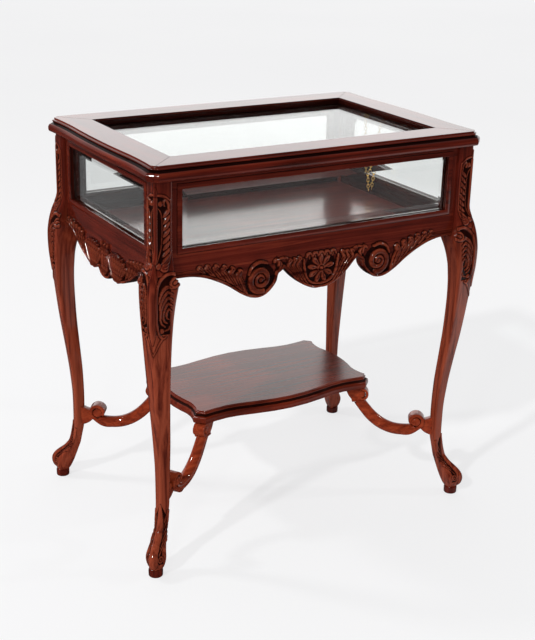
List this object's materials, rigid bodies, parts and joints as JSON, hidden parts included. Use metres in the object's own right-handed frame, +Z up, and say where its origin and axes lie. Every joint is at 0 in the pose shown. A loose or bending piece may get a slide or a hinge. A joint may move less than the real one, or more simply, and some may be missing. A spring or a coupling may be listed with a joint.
{
  "type": "collectors display table",
  "caption": "Carved mahogany collectors display table: glass case with a hinged glass lid on cabriole legs, over a serpentine shelf held by curved stretchers.",
  "frame": {"origin": "on the ground under the middle of the table", "axes": "+X along the front to the right as seen from the front, +Y towards the back with the hinges, +Z up"},
  "size_m": [0.7218, 0.4868, 0.77],
  "materials": {
    "mahogany": "polished",
    "dark_mahogany": "satin",
    "glass": "clear",
    "brass": "aged satin"
  },
  "bodies": {
    "case": {"leg_front_left": "mahogany", "leg_front_right": "mahogany", "leg_back_left": "mahogany", "leg_back_right": "mahogany", "apron_front": "mahogany", "apron_back": "mahogany", "apron_left": "mahogany", "apron_right": "mahogany", "top_rail_front": "mahogany", "top_rail_back": "mahogany", "top_rail_left": "mahogany", "top_rail_right": "mahogany", "stile_front_left": "mahogany", "stile_front_right": "mahogany", "stile_back_left": "mahogany", "stile_back_right": "mahogany", "stile_left_front": "mahogany", "stile_left_back": "mahogany", "stile_right_front": "mahogany", "stile_right_back": "mahogany", "pane_front": "glass", "pane_back": "glass", "pane_left": "glass", "pane_right": "glass", "bead_front": "dark_mahogany", "bead_back": "dark_mahogany", "bead_left": "dark_mahogany", "bead_right": "dark_mahogany", "case_floor": "mahogany", "floor_ledger_front": "dark_mahogany", "floor_ledger_back": "dark_mahogany", "hinge_case_leaf_left": "brass", "hinge_case_leaf_right": "brass", "hinge_pin_left": "brass", "hinge_pin_right": "brass", "chain_eye_case": "brass", "shelf": "mahogany", "stretcher_front_left": "mahogany", "stretcher_front_right": "mahogany", "stretcher_back_left": "mahogany", "stretcher_back_right": "mahogany", "shelf_bracket_front_left": "mahogany", "shelf_bracket_front_right": "mahogany", "shelf_bracket_back_left": "mahogany", "shelf_bracket_back_right": "mahogany"},
    "lid": {"lid_rail_front": "mahogany", "lid_rail_back": "mahogany", "lid_rail_left": "mahogany", "lid_rail_right": "mahogany", "lid_pane": "glass", "lid_bead": "dark_mahogany", "hinge_lid_leaf_left": "brass", "hinge_lid_leaf_right": "brass", "chain_eye_lid": "brass"},
    "chain_case_side": {"chain_case_half": "brass"},
    "chain_lid_side": {"chain_lid_half": "brass"}
  },
  "joints": [
    {"name": "lid_hinge", "type": "hinge", "parent": "case", "child": "lid", "pos_m": [0, 0.2244, 0.74275], "axis": [-1, 0, 0], "range_deg": [0, 110]},
    {"name": "chain_case_swing", "type": "hinge", "parent": "case", "child": "chain_case_side", "pos_m": [0.3039, 0.04, 0.734], "axis": [1, 0, 0], "range_deg": [0, 121.4]},
    {"name": "chain_lid_swing", "type": "hinge", "parent": "lid", "child": "chain_lid_side", "pos_m": [0.27495, 0.055, 0.7448], "axis": [1, 0, 0], "range_deg": [0, 57.21]}
  ],
  "couplings": [
    {"joint": "chain_case_swing", "follows": "lid_hinge", "ratio": 1.1035},
    {"joint": "chain_lid_swing", "follows": "lid_hinge", "ratio": 0.51999}
  ]
}
